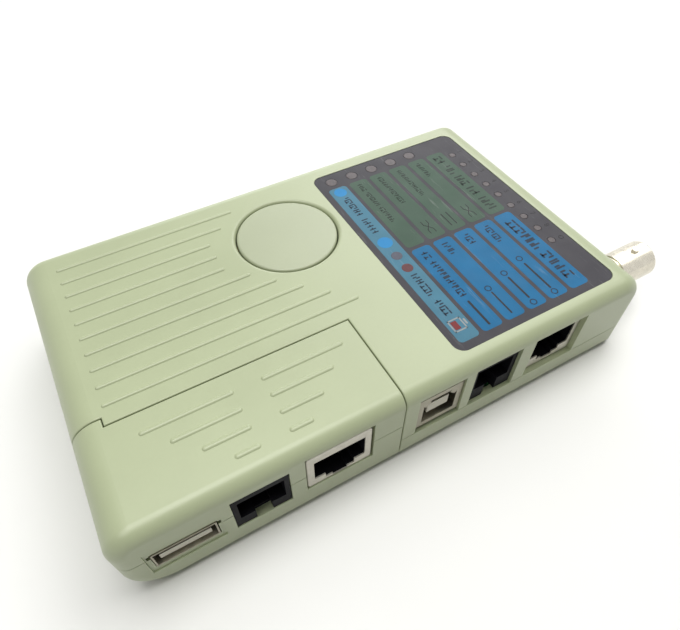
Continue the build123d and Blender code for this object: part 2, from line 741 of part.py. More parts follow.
with BuildPart() as usb_b_shell:
    with BuildSketch(Plane.XZ.offset(-usb_b_y0)):
        with Locations((USB_B_X, (USB_B_Z0 + usb_b_z1) / 2)):
            Rectangle(USB_B_W, USB_B_H)
            Rectangle(USB_B_W - 2 * USB_SHEET, USB_B_H - 2 * USB_SHEET, mode=Mode.SUBTRACT)
    extrude(amount=-USB_B_DEPTH)
    # front plate with the five-sided plug opening
    with BuildSketch(Plane.XZ.offset(-usb_b_y0)):
        with Locations((USB_B_X, (USB_B_Z0 + usb_b_z1) / 2)):
            Rectangle(USB_B_W - USB_SHEET, USB_B_H - USB_SHEET)
            Rectangle(USB_B_OPEN_W, USB_B_OPEN_H, mode=Mode.SUBTRACT)
            with Locations((-3.7, 3.4), (3.7, 3.4)):
                Rectangle(1.9, 1.9, rotation=45)
    extrude(amount=-USB_SHEET)
    add(
        box(
            USB_B_X - USB_B_W / 2,
            USB_B_X + USB_B_W / 2,
            usb_b_y0 + USB_B_DEPTH - USB_SHEET,
            usb_b_y0 + USB_B_DEPTH,
            USB_B_Z0,
            usb_b_z1,
        )
    )
    for side in (-1, 1):
        leg_x = USB_B_X + side * (USB_B_W / 2 - USB_SHEET / 2)
        leg_y = usb_b_y0 + 5.0
        leg_x0 = leg_x - USB_SHEET / 2
        add(box(leg_x0, leg_x0 + USB_SHEET, leg_y, leg_y + 2.4, MASTER_TOP_OF_BOARD, USB_B_Z0 + 1))
usb_b_shell.part.label = "usb_b_shell"

with BuildPart() as usb_b_insert:
    # block at the back of the shell, then the tongue that carries the contacts
    add(
        box(
            USB_B_X - USB_B_W / 2 + USB_SHEET,
            USB_B_X + USB_B_W / 2 - USB_SHEET,
            usb_b_y0 + 9.5,
            usb_b_y0 + USB_B_DEPTH - USB_SHEET,
            USB_B_Z0 + USB_SHEET,
            usb_b_z1 - USB_SHEET,
        )
    )
    mid_z = (USB_B_Z0 + usb_b_z1) / 2
    add(box(USB_B_X - 2.8, USB_B_X + 2.8, usb_b_y0 + 0.6, usb_b_y0 + 10.0, mid_z - 1.6, mid_z + 1.6))
usb_b_insert.part.label = "usb_b_insert"

usb_a_y0 = Y_FRONT + 0.1
usb_a_z0 = USB_A_Z - USB_A_H / 2
usb_a_z1 = USB_A_Z + USB_A_H / 2

with BuildPart() as remote_usb_a_shell:
    with BuildSketch(Plane.XZ.offset(-usb_a_y0)):
        with Locations((USB_A_X, USB_A_Z)):
            Rectangle(USB_A_W, USB_A_H)
            Rectangle(USB_A_W - 2 * USB_SHEET, USB_A_H - 2 * USB_SHEET, mode=Mode.SUBTRACT)
    extrude(amount=-USB_A_DEPTH)
    for side in (-1, 1):
        leg_x = USB_A_X + side * (USB_A_W / 2 - USB_SHEET / 2)
        leg_y = usb_a_y0 + 8.0
        leg_x0 = leg_x - USB_SHEET / 2
        add(box(leg_x0, leg_x0 + USB_SHEET, leg_y, leg_y + 2.4, REMOTE_TOP_OF_BOARD, usb_a_z0 + 1))
remote_usb_a_shell.part.label = "remote_usb_a_shell"

with BuildPart() as remote_usb_a_insert:
    add(
        box(
            USB_A_X - USB_A_W / 2 + USB_SHEET,
            USB_A_X + USB_A_W / 2 - USB_SHEET,
            usb_a_y0 + 9.5,
            usb_a_y0 + USB_A_DEPTH,
            usb_a_z0 + USB_SHEET,
            usb_a_z1 - USB_SHEET,
        )
    )
    tongue_x = USB_A_TONGUE_W / 2
    tongue_z = usb_a_z0 + USB_A_TONGUE_LIFT
    add(
        box(
            USB_A_X - tongue_x,
            USB_A_X + tongue_x,
            usb_a_y0 + 0.5,
            usb_a_y0 + 10.0,
            tongue_z,
            tongue_z + USB_A_TONGUE_T,
        )
    )
remote_usb_a_insert.part.label = "remote_usb_a_insert"

# ================================================================ coaxial connector
with BuildPart() as bnc_body:
    # moulded-in base behind the wall, threaded neck through it, barrel outside
    add(
        box(
            BNC_BASE_X1 - BNC_BASE,
            BNC_BASE_X1,
            BNC_Y - 6.8,
            BNC_Y + 6.8,
            MASTER_TOP_OF_BOARD,
            BNC_Z + 6.4,
        )
    )
    neck_x0 = BNC_BASE_X1 - 1.0
    neck_x1 = X_END + BNC_NECK
    with BuildSketch(Plane.YZ.offset(neck_x0)):
        with Locations((BNC_Y, BNC_Z)):
            Circle(BNC_THREAD_R - BNC_THREAD_DEPTH)
    extrude(amount=neck_x1 - neck_x0)
    turns = int((neck_x1 - neck_x0) / BNC_THREAD_PITCH)
    for turn in range(turns):
        crest_x = neck_x0 + (turn + 0.5) * BNC_THREAD_PITCH
        foot = BNC_THREAD_PITCH * 0.42
        crest = BNC_THREAD_PITCH * 0.08
        with BuildSketch(Plane((0, BNC_Y, BNC_Z), x_dir=(1, 0, 0), z_dir=(0, -1, 0))):
            with BuildLine():
                Polyline(
                    (crest_x - foot, BNC_THREAD_R - BNC_THREAD_DEPTH - 0.3),
                    (crest_x + foot, BNC_THREAD_R - BNC_THREAD_DEPTH - 0.3),
                    (crest_x + foot, BNC_THREAD_R - BNC_THREAD_DEPTH),
                    (crest_x + crest, BNC_THREAD_R),
                    (crest_x - crest, BNC_THREAD_R),
                    (crest_x - foot, BNC_THREAD_R - BNC_THREAD_DEPTH),
                    close=True,
                )
            make_face()
        revolve(axis=Axis((0, BNC_Y, BNC_Z), (1, 0, 0)))
    with BuildSketch(Plane.YZ.offset(neck_x1 - 0.6)):
        with Locations((BNC_Y, BNC_Z)):
            Circle(BNC_BARREL_R)
    extrude(amount=BNC_REACH - BNC_NECK + 0.6)
    tip = faces().sort_by(Axis.X)[-1]
    fillet(tip.edges(), 0.3)
    # bore for the plug and the deeper hole for the insulator
    with BuildSketch(Plane.YZ.offset(X_END + BNC_REACH)):
        with Locations((BNC_Y, BNC_Z)):
            Circle(BNC_BORE_R)
    extrude(amount=-9.0, mode=Mode.SUBTRACT)
    with BuildSketch(Plane.YZ.offset(X_END + BNC_REACH - 9.0)):
        with Locations((BNC_Y, BNC_Z)):
            Circle(3.4)
    extrude(amount=-14.0, mode=Mode.SUBTRACT)
    # two bayonet studs
    for angle in (BNC_LUG_ANGLE, BNC_LUG_ANGLE + 180):
        stud = Plane((X_END + BNC_REACH - BNC_LUG_SETBACK, BNC_Y, BNC_Z)).rotated((-angle, 0, 0))
        with BuildSketch(stud.offset(BNC_BORE_R + 0.3)):
            Circle(BNC_LUG_R)
        extrude(amount=BNC_LUG_REACH - BNC_BORE_R - 0.3)
bnc_body.part.label = "bnc_body"

with BuildPart() as bnc_insulator:
    with BuildSketch(Plane.YZ.offset(X_END + BNC_REACH - 9.0 - 14.0)):
        with Locations((BNC_Y, BNC_Z)):
            Circle(3.4)
    extrude(amount=14.0)
    with BuildSketch(Plane.YZ.offset(X_END + BNC_REACH - 9.0)):
        with Locations((BNC_Y, BNC_Z)):
            Circle(2.35)
    extrude(amount=5.0)
    with BuildSketch(Plane.YZ.offset(X_END + BNC_REACH - 4.0)):
        with Locations((BNC_Y, BNC_Z)):
            Circle(1.1)
    extrude(amount=-19.0, mode=Mode.SUBTRACT)
bnc_insulator.part.label = "bnc_insulator"

with BuildPart() as bnc_contact:
    with BuildSketch(Plane.YZ.offset(X_END + BNC_REACH - 4.3)):
        with Locations((BNC_Y, BNC_Z)):
            Circle(1.1)
    extrude(amount=-18.7)
    with BuildSketch(Plane.YZ.offset(X_END + BNC_REACH - 4.3)):
        with Locations((BNC_Y, BNC_Z)):
            Circle(0.7)
    extrude(amount=-6.0, mode=Mode.SUBTRACT)
bnc_contact.part.label = "bnc_contact"

# ================================================================ battery
with BuildPart() as battery:
    add(
        box(
            BATTERY_X0,
            BATTERY_X0 + BATTERY_L - 3.0,
            BATTERY_Y - BATTERY_W / 2,
            BATTERY_Y + BATTERY_W / 2,
            BATTERY_Z0,
            BATTERY_Z0 + BATTERY_H,
        )
    )
    fillet(edges().filter_by(Axis.X), 2.0)
battery.part.label = "battery"

battery_x1 = BATTERY_X0 + BATTERY_L - 3.0
battery_z = BATTERY_Z0 + BATTERY_H / 2

with BuildPart() as battery_terminals:
    with BuildSketch(Plane.YZ.offset(battery_x1)):
        with Locations((BATTERY_Y - 6.35, battery_z)):
            Circle(2.9)
        with Locations((BATTERY_Y + 6.35, battery_z)):
            RegularPolygon(4.2, 6)
    extrude(amount=2.8)
battery_terminals.part.label = "battery_terminals"

with BuildPart() as battery_clip:
    clip_x0 = battery_x1 + 2.85
    clip_x1 = battery_x1 + 4.6
    add(box(clip_x0, clip_x1, BATTERY_Y - 12.0, BATTERY_Y + 12.0, battery_z - 5.5, battery_z + 5.5))
    fillet(edges().filter_by(Axis.X), 1.5)
battery_clip.part.label = "battery_clip"

# ================================================================ remote case
remote_space = dock_block(-DOCK_GAP)

with BuildPart() as remote_case:
    add(outer)
    add(remote_space, mode=Mode.INTERSECT)
    fillet(seam_edges(remote_case.part, -DOCK_GAP), SEAM_ROUND)
remote_outer = parting_groove(REMOTE_SPLIT_Z, remote_case.part)

with BuildPart() as remote_room:
    add(cavity)
    add(dock_block(-DOCK_GAP - WALL), mode=Mode.INTERSECT)
remote_hollow = remote_room.part

slot_neck = RAIL_NECK_H / 2 + RAIL_CLEARANCE
slot_head = RAIL_HEAD_H / 2 + RAIL_CLEARANCE
with BuildPart() as rail_slot:
    add(box(RAIL_X0 - RAIL_CLEARANCE, 0, -20, DOCK_Y + 2, RAIL_Z - slot_neck, RAIL_Z + slot_neck))
    add(
        box(
            DOCK_X - WALL - 1.0,
            0,
            RAIL_HEAD_Y - RAIL_CLEARANCE,
            DOCK_Y - DOCK_GAP - WALL + 0.01,
            RAIL_Z - slot_head,
            RAIL_Z + slot_head,
        )
    )
rail_way = rail_slot.part

usb_a_window = front_window(
    USB_A_X, USB_A_W + 2 * USB_A_GAP, usb_a_z0 - USB_A_GAP, usb_a_z1 + USB_A_GAP
)
usb_a_notches = front_window(USB_A_X, USB_A_W + 2 * USB_A_EAR, usb_a_z1 - 1.6, usb_a_z1 - 0.2)
usb_a_recess = front_window(USB_A_X, 15.1, 8.0, 17.6, 0.3)
remote_phone_top = REMOTE_PHONE_Z + REMOTE_PHONE_H
phone_window = front_window(
    REMOTE_PHONE_X, REMOTE_PHONE_W + 0.3, REMOTE_PHONE_Z - 0.1, remote_phone_top + 0.15
)
net_window = front_window(REMOTE_NET_X + 0.1, NET_W + 0.6, REMOTE_NET_Z - 0.1, 21.9)
remote_windows = [usb_a_window, usb_a_notches, usb_a_recess, phone_window, net_window]

with BuildPart() as remote_pillars:
    for px, py in REMOTE_SCREWS:
        add(boss(px, py, 2.7, 1.0, REMOTE_BOARD_Z))
    add(inner_skin, mode=Mode.INTERSECT)

with BuildPart() as remote_bottom_shell:
    add(remote_outer)
    add(box(-70, 70, -45, 45, REMOTE_SPLIT_Z, 35), mode=Mode.SUBTRACT)
    add(remote_hollow, mode=Mode.SUBTRACT)
    add(remote_pillars.part)
    for px, py in REMOTE_SCREWS:
        add(boss(px, py, SCREW_R + 0.2, -1.0, REMOTE_BOARD_Z + 1), mode=Mode.SUBTRACT)
        add(boss(px, py, SCREW_HEAD_R + 0.2, -1.0, SCREW_HEAD_Z + SCREW_HEAD_H), mode=Mode.SUBTRACT)
    for window in remote_windows:
        add(window, mode=Mode.SUBTRACT)
    add(rail_way, mode=Mode.SUBTRACT)
remote_bottom_shell.part.label = "remote_bottom_shell"

with BuildPart() as remote_top_shell:
    add(remote_outer)
    add(box(-70, 70, -45, 45, -5, REMOTE_SPLIT_Z), mode=Mode.SUBTRACT)
    add(remote_hollow, mode=Mode.SUBTRACT)
    for px, py in REMOTE_SCREWS:
        add(boss(px, py, 2.7, REMOTE_TOP_OF_BOARD, HEIGHT - 1.0))
        add(boss(px, py, SCREW_R, REMOTE_TOP_OF_BOARD - 1, screw_top_z + 0.5), mode=Mode.SUBTRACT)
    for window in remote_windows:
        add(window, mode=Mode.SUBTRACT)
    for index in range(REMOTE_RIB_COUNT):
        rib_y = REMOTE_RIB_Y0 - REMOTE_RIB_PITCH * index
        left_start = REMOTE_RIB_LEFT[0] + 4.7 * index
        right_end = REMOTE_RIB_RIGHT[1] - 4.6 * index
        add(slot_rib(left_start, REMOTE_RIB_LEFT[1], rib_y, REMOTE_RIB_W))
        add(slot_rib(REMOTE_RIB_RIGHT[0], right_end, rib_y, REMOTE_RIB_W))
remote_top_shell.part.label = "remote_top_shell"

with BuildPart() as remote_board:
    add(
        box(
            -61.4,
            DOCK_X - DOCK_GAP - WALL - BOARD_CLEAR,
            board_y0,
            RAIL_HEAD_Y + 1.4,
            REMOTE_BOARD_Z,
            REMOTE_TOP_OF_BOARD,
        )
    )
    fillet(edges().filter_by(Axis.Z), 1.0)
    for px, py in REMOTE_SCREWS:
        add(boss(px, py, SCREW_R + 0.2, REMOTE_BOARD_Z - 1, REMOTE_TOP_OF_BOARD + 1), mode=Mode.SUBTRACT)
remote_board.part.label = "remote_board"

# ================================================================ screws
master_screws = screw_set(MASTER_SCREWS, SCREW_HEAD_Z, SCREW_L)
master_screws.label = "master_screws"
remote_screws = screw_set(REMOTE_SCREWS, SCREW_HEAD_Z, SCREW_L)
remote_screws.label = "remote_screws"

# ================================================================ export
parts = [
    master_top_shell.part,
    master_bottom_shell.part,
    battery_door.part,
    label_overlay.part,
    test_button.part,
    switch_body.part,
    switch_plunger.part,
    master_board.part,
    controller_chip.part,
    logic_chips.part,
    usb_b_shell.part,
    usb_b_insert.part,
    remote_usb_a_shell.part,
    remote_usb_a_insert.part,
    bnc_body.part,
    bnc_insulator.part,
    bnc_contact.part,
    battery.part,
    battery_terminals.part,
    battery_clip.part,
    remote_bottom_shell.part,
    remote_top_shell.part,
    remote_board.part,
    master_screws,
    remote_screws,
]
for name, piece in list(jack_parts.items()) + list(lamp_parts.items()):
    piece.label = name
    parts.append(piece)

for piece in parts:
    print(f"{piece.label:28s} valid={piece.is_valid} solids={len(piece.solids())} volume={piece.volume:.1f}")
    export_step(piece, f"parts/{piece.label}.step")
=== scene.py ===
import json
import math
import random

import bmesh
import bpy
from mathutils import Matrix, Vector


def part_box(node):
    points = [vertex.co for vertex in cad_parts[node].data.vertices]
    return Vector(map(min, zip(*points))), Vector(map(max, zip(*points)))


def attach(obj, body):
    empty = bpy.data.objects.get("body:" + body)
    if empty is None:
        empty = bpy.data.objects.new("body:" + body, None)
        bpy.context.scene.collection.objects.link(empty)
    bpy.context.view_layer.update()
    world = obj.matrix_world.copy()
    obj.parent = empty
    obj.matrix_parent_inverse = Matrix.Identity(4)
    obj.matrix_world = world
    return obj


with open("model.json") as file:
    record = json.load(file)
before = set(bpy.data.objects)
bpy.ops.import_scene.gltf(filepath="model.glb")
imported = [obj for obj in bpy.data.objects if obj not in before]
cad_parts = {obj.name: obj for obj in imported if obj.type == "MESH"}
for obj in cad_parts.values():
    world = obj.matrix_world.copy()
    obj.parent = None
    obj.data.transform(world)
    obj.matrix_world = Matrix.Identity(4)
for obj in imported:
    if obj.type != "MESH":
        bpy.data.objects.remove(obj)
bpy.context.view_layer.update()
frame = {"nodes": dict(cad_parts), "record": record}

MM = 0.001
WHITE = (1.0, 1.0, 1.0)


# ---------------------------------------------------------------- materials
class Look:
    """A node material being built, with textures in object space and feature sizes in millimetres."""

    def __init__(self, name, **sockets):
        self.material = bpy.data.materials.new(name)
        self.material.use_nodes = True
        tree = self.material.node_tree
        self.nodes, self.links = tree.nodes, tree.links
        self.shader = self.nodes["Principled BSDF"]
        for socket, value in sockets.items():
            self.shader.inputs[socket.replace("_", " ")].default_value = value
        self.place = self.add("ShaderNodeTexCoord").outputs["Object"]
        self.normal = None

    def add(self, kind, inputs=(), **settings):
        node = self.nodes.new(kind)
        for key, value in settings.items():
            setattr(node, key, value)
        for key, value in dict(inputs).items():
            self.feed(node.inputs[key], value)
        return node

    def feed(self, socket, value):
        if isinstance(value, bpy.types.NodeSocket):
            self.links.new(value, socket)
        else:
            socket.default_value = value

    def noise(self, size, detail=2.0, roughness=0.5, stretch=WHITE):
        """Noise with blobs about size mm across, longer along an axis where stretch is below 1."""
        shifted = self.add("ShaderNodeMapping", {"Vector": self.place, "Scale": stretch})
        settings = {"Vector": shifted.outputs[0], "Scale": 1 / (size * MM), "Detail": detail,
                    "Roughness": roughness}
        return self.add("ShaderNodeTexNoise", settings).outputs[0]

    def cells(self, size, feature="F1"):
        """Cell texture with cells about size mm across; returns the distance."""
        settings = {"Vector": self.place, "Scale": 1 / (size * MM)}
        return self.add("ShaderNodeTexVoronoi", settings, feature=feature).outputs["Distance"]

    def spread(self, value, low, high, to_low=0.0, to_high=1.0):
        """Maps low..high to to_low..to_high, clamped."""
        settings = {"Value": value, "From Min": low, "From Max": high, "To Min": to_low,
                    "To Max": to_high}
        return self.add("ShaderNodeMapRange", settings).outputs[0]

    def math(self, operation, first, second=0.0):
        return self.add("ShaderNodeMath", {0: first, 1: second}, operation=operation).outputs[0]

    def mix(self, factor, first, second):
        node = self.add("ShaderNodeMix", {0: factor}, data_type="RGBA", blend_type="MIX")
        self.feed(node.inputs[6], rgba(first))
        self.feed(node.inputs[7], rgba(second))
        return node.outputs[2]

    def bump(self, height, depth):
        """Adds relief depth mm deep where height is 0..1."""
        settings = {"Height": height, "Distance": depth * MM, "Strength": 1.0}
        if self.normal:
            settings["Normal"] = self.normal
        self.normal = self.add("ShaderNodeBump", settings).outputs[0]

    def edges(self, radius, low=0.80, high=0.99):
        """1 along edges and corners tighter than radius mm, 0 on open faces."""
        bevel = self.add("ShaderNodeBevel", {"Radius": radius * MM}, samples=4)
        flat = self.add("ShaderNodeNewGeometry").outputs["Normal"]
        dot = self.add("ShaderNodeVectorMath", {0: bevel.outputs[0], 1: flat}, operation="DOT_PRODUCT")
        return self.spread(dot.outputs["Value"], low, high, 1.0, 0.0)

    def corners(self, distance):
        """1 in grooves and corners, 0 in the open, looking distance mm around."""
        shade = self.add("ShaderNodeAmbientOcclusion", {"Distance": distance * MM}, samples=6)
        return self.spread(shade.outputs["AO"], 0.35, 0.95, 1.0, 0.0)

    def along(self, axis):
        """The object-space coordinate on one axis, in metres."""
        return self.add("ShaderNodeSeparateXYZ", {0: self.place}).outputs[axis]

    def done(self, colour, roughness):
        self.feed(self.shader.inputs["Base Color"], colour)
        self.feed(self.shader.inputs["Roughness"], roughness)
        if self.normal:
            self.links.new(self.normal, self.shader.inputs["Normal"])
        return self.material


def rgba(colour):
    if isinstance(colour, tuple) and len(colour) == 3:
        return (*colour, 1.0)
    return colour


def scaled(colour, factor):
    return tuple(min(1.0, channel * factor) for channel in colour)


def moulded(name, colour, grain=0.30, depth=0.003, roughness=(0.31, 0.36), wear=0.12, groove_shade=0.04,
            gloss=0.50):
    """Injection-moulded plastic: fine grain, slow colour drift, polished edges, and painted shade that
    darkens grooves and corners.
    """
    look = Look(name, Specular_IOR_Level=gloss)
    drift = look.noise(24, 3)
    speck = look.noise(0.9, 2)
    body = look.mix(look.spread(drift, 0.3, 0.7), scaled(colour, 0.965), scaled(colour, 1.03))
    body = look.mix(look.spread(speck, 0.35, 0.75, 0, 0.10), body, scaled(colour, 0.86))
    edge = look.math("MULTIPLY", look.edges(0.5), look.spread(look.noise(3.0, 4), 0.35, 0.65))
    body = look.mix(look.math("MULTIPLY", edge, wear * 3), body, scaled(colour, 1.14))
    # painted shade: the colour darkens towards half in grooves and corners, more in some patches than
    # others
    shade_patches = look.spread(look.noise(5.0, 3), 0.2, 0.7, 0.55, 1.0)
    groove_shade_mask = look.math("MULTIPLY", look.corners(0.8), shade_patches)
    body = look.mix(look.math("MULTIPLY", groove_shade_mask, groove_shade), body, scaled(colour, 0.50))
    rough = look.spread(look.noise(6.0, 4, 0.6), 0.3, 0.7, *roughness)
    rough = look.math("SUBTRACT", rough, look.math("MULTIPLY", edge, 0.05))
    look.bump(look.noise(11, 1), 0.012)
    look.bump(look.noise(grain, 3, 0.6), depth)
    return look.done(body, rough)


def printed(name, colour, roughness=0.30):
    """Screen print on a polycarbonate film: dot screen, ink density drift and fine rub marks."""
    look = Look(name, Specular_IOR_Level=0.14)
    dots = look.spread(look.cells(0.16), 0.15, 0.55)
    ink = look.mix(look.spread(look.noise(6, 3), 0.3, 0.7), scaled(colour, 0.90), scaled(colour, 1.10))
    ink = look.mix(look.math("MULTIPLY", dots, 0.16), ink, scaled(colour, 1.45))
    rub = look.spread(look.noise(1.2, 5, 0.7, (1.0, 0.08, 1.0)), 0.60, 0.72)
    ink = look.mix(look.math("MULTIPLY", rub, 0.07), ink, WHITE)
    rough = look.spread(look.noise(4, 4), 0.3, 0.7, roughness, roughness + 0.12)
    look.bump(look.noise(0.25, 2), 0.0015)
    return look.done(ink, rough)


def metal(name, colour, roughness=(0.12, 0.26), brush=WHITE, tarnish=0.25):
    """Plated or bare metal: drawn grain, handling haze and darker tarnish in the corners."""
    look = Look(name, Metallic=1.0)
    haze = look.noise(1.6, 4, 0.6)
    body = look.mix(look.spread(haze, 0.3, 0.7), scaled(colour, 0.88), scaled(colour, 1.05))
    body = look.mix(look.math("MULTIPLY", look.corners(0.8), tarnish), body, scaled(colour, 0.30))
    grain = look.noise(0.12, 3, 0.6, brush)
    rough = look.spread(grain, 0.25, 0.75, *roughness)
    rough = look.math("ADD", rough, look.spread(haze, 0.5, 0.8, 0, 0.10))
    look.bump(grain, 0.0008)
    look.bump(look.noise(1.1, 2), 0.004)
    return look.done(body, rough)


def lens(name, colour, tint=None, axis="Y", split=0.0):
    """Milky lamp resin; with a tint, the lamps below split mm on the axis take that colour instead."""
    look = Look(name, Specular_IOR_Level=0.25, Subsurface_Weight=0.15,
                Subsurface_Radius=(0.0008, 0.0005, 0.0004))
    cloud = look.spread(look.noise(0.8, 3), 0.3, 0.7)
    body = look.mix(cloud, scaled(colour, 0.85), scaled(colour, 1.18))
    if tint:
        warm = look.mix(cloud, scaled(tint, 0.8), scaled(tint, 1.2))
        side = look.spread(look.along(axis), (split + 0.4) * MM, (split - 0.4) * MM)
        body = look.mix(side, body, warm)
    look.bump(look.noise(0.5, 2), 0.002)
    return look.done(body, look.spread(look.noise(0.7, 2), 0.3, 0.7, 0.30, 0.42))


def circuit_board():
    """Green solder mask over copper: fine tracks, plated holes and a glass weave showing through."""
    look = Look("board_green", Specular_IOR_Level=0.5, Coat_Weight=0.2, Coat_Roughness=0.15)
    squares = look.add("ShaderNodeTexChecker", {"Vector": look.place, "Scale": 1 / (0.45 * MM)})
    weave = squares.outputs[1]
    tracks = look.spread(look.cells(3.2, "DISTANCE_TO_EDGE"), 0.05, 0.09, 1.0, 0.0)
    holes = look.spread(look.cells(4.4), 0.09, 0.11, 1.0, 0.0)
    mask = look.spread(look.noise(9, 3), 0.3, 0.7)
    body = look.mix(mask, (0.010, 0.105, 0.030), (0.016, 0.150, 0.045))
    body = look.mix(look.math("MULTIPLY", weave, 0.12), body, (0.05, 0.22, 0.07))
    body = look.mix(look.math("MULTIPLY", tracks, 0.6), body, (0.045, 0.260, 0.075))
    body = look.mix(holes, body, (0.62, 0.55, 0.32))
    look.bump(tracks, 0.03)
    return look.done(body, look.spread(look.noise(1.2, 3), 0.3, 0.7, 0.22, 0.38))


def battery_film():
    """Shrink film round a battery: dark body, one bright band near the terminals, faint creases."""
    look = Look("battery_wrap", Specular_IOR_Level=0.55, Coat_Weight=0.35, Coat_Roughness=0.12)
    along = look.along("X")
    low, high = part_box("battery")
    band_from = low.x + 0.62 * (high.x - low.x)
    band = look.spread(along, band_from, band_from + 0.0002)
    body = look.mix(band, (0.030, 0.032, 0.038), (0.62, 0.33, 0.06))
    body = look.mix(look.spread(look.noise(2.5, 4), 0.45, 0.75, 0, 0.12), body, WHITE)
    look.bump(look.noise(3.5, 3, 0.6, (0.35, 1.0, 1.0)), 0.05)
    return look.done(body, look.spread(look.noise(3, 3), 0.3, 0.7, 0.22, 0.36))


CASE = (0.384, 0.428, 0.270)
LOOKS = {
    "case_plastic": moulded("case_plastic", CASE),
    "button_plastic": moulded("button_plastic", (0.372, 0.408, 0.276), 0.25, 0.002, (0.30, 0.35)),
    "label_print": printed("label_ground", (0.038, 0.036, 0.044)),
    "board_green": circuit_board(),
    "chip_black": moulded("chip_black", (0.020, 0.020, 0.022), 0.15, 0.006, (0.42, 0.60), 0.3, 0.1),
    "jack_black": moulded("jack_black", (0.006, 0.006, 0.008), 0.20, 0.002, (0.40, 0.55), 0.4, 0.1, 0.05),
    "jack_shield": metal("jack_shield", (0.50, 0.48, 0.42), (0.34, 0.50), (0.2, 1.0, 1.0), 0.1),
    "contact_gold": metal("contact_gold", (0.86, 0.62, 0.25), (0.14, 0.28), (1.0, 0.2, 1.0)),
    "tin_sheet": metal("tin_sheet", (0.31, 0.29, 0.23), (0.28, 0.44), (0.15, 1.0, 1.0)),
    "insert_white": moulded("insert_white", (0.56, 0.53, 0.43), 0.20, 0.002, (0.30, 0.42)),
    "nickel": metal("nickel", (0.70, 0.66, 0.56), (0.20, 0.34), (1.0, 0.25, 0.25), 0.12),
    "switch_dark": moulded("switch_dark", (0.022, 0.022, 0.026), 0.20, 0.002, (0.30, 0.45), 0.3, 0.1),
    "lamp_clear": lens("lamp_clear", (0.082, 0.068, 0.072)),
    "lamp_power": lens("lamp_power", (0.056, 0.060, 0.088), (0.075, 0.007, 0.010), "Y", -5.8),
    "battery_wrap": battery_film(),
    "screw_steel": metal("screw_steel", (0.56, 0.57, 0.60), (0.22, 0.40), (1.0, 1.0, 0.3)),
}
PRINT = {
    "green": printed("print_green", (0.037, 0.074, 0.050)),
    "blue": printed("print_blue", (0.000, 0.108, 0.252)),
    "pale_blue": printed("print_pale_blue", (0.050, 0.160, 0.235)),
    "bright_blue": printed("print_bright_blue", (0.020, 0.200, 0.450)),
    "green_ink": printed("print_green_ink", (0.008, 0.018, 0.012)),
    "blue_ink": printed("print_blue_ink", (0.004, 0.014, 0.032)),
    "black_ink": printed("print_black_ink", (0.008, 0.008, 0.010)),
    "red_ink": printed("print_red_ink", (0.160, 0.018, 0.020)),
    "white_ink": printed("print_white_ink", (0.250, 0.270, 0.280)),
}

for part in frame["record"]["subparts"]:
    shown = frame["nodes"][part["node"]]
    shown.data.materials.clear()
    shown.data.materials.append(LOOKS[part["material_slot"]])


# ---------------------------------------------------------------- printed artwork on the label
LABEL_LOW, LABEL_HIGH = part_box("label_overlay")
FILM = 0.018 * MM          # thickness of one printed layer
ROW_TOP = 51.6             # outer edge of the title row, in millimetres
ROW_HEIGHT = 5.4
ROW_PITCH = 6.44
GREEN_SPAN = (26.8, -2.7)  # along the label, in reading order
BLUE_SPAN = (-3.8, -32.7)
CORNER = 1.0
BATTERY_ROW = 5

# words: mark heights, and where each word starts and ends along the label
TITLE_MARK = (2.1, 2.2)
GREEN_MARK = 1.15
BLUE_MARK = 1.5
GREEN_TITLE_WORDS = ((25.3, 21.4), (20.2, 16.2), (14.8, 10.6), (9.4, 5.4), (4.2, -0.9))
GREEN_ROW_START = 25.3
GREEN_ROW_ENDS = {1: (18.7,), 2: (12.7,), 3: (12.3,), 4: (21.9, 15.0, 7.6)}
GREEN_WORD_GAP = 0.9
BLUE_TITLE_WORDS = ((-6.9, -18.5), (-20.0, -29.6))
BLUE_ROW_START = -5.5
BLUE_ROW_ENDS = {1: (-11.9,), 2: (-9.5,), 3: (-9.7,), 4: (-8.3, -22.4)}
BLUE_WORD_GAP = 1.0
BATTERY_WORDS = ((21.9, 13.6), (12.0, 5.7), (-10.7, -18.2), (-20.0, -25.0))

# wiring sketches: by row, where they lie along the label
HAIRLINE = 0.22
CROSSED_ROWS = (1, 3)
STRAIGHT_ROW = 2
PAIR_SPAN = (3.9, -0.9)
PAIR_GAP = 0.8
PAIR_TAIL = 1.3
COAXIAL_SHIFT = 0.3
COAXIAL_LINES = {
    # row: start, end, width
    1: (-20.9, -29.7, 0.55),
    2: (-22.6, -29.6, 0.55),
    3: (-24.3, -31.2, 0.45),
    4: (-23.9, -31.3, 0.60),
}
COAXIAL_RINGS = {1: (-18.9, -31.1), 2: (-20.9, -31.2), 3: (-22.9,)}

# wire numbers beside the pin lamps
PIN_LAMPS = 9
PIN_LAMP_R = 1.0
DIGIT_X = 56.5
DIGIT_SIZE = 2.1


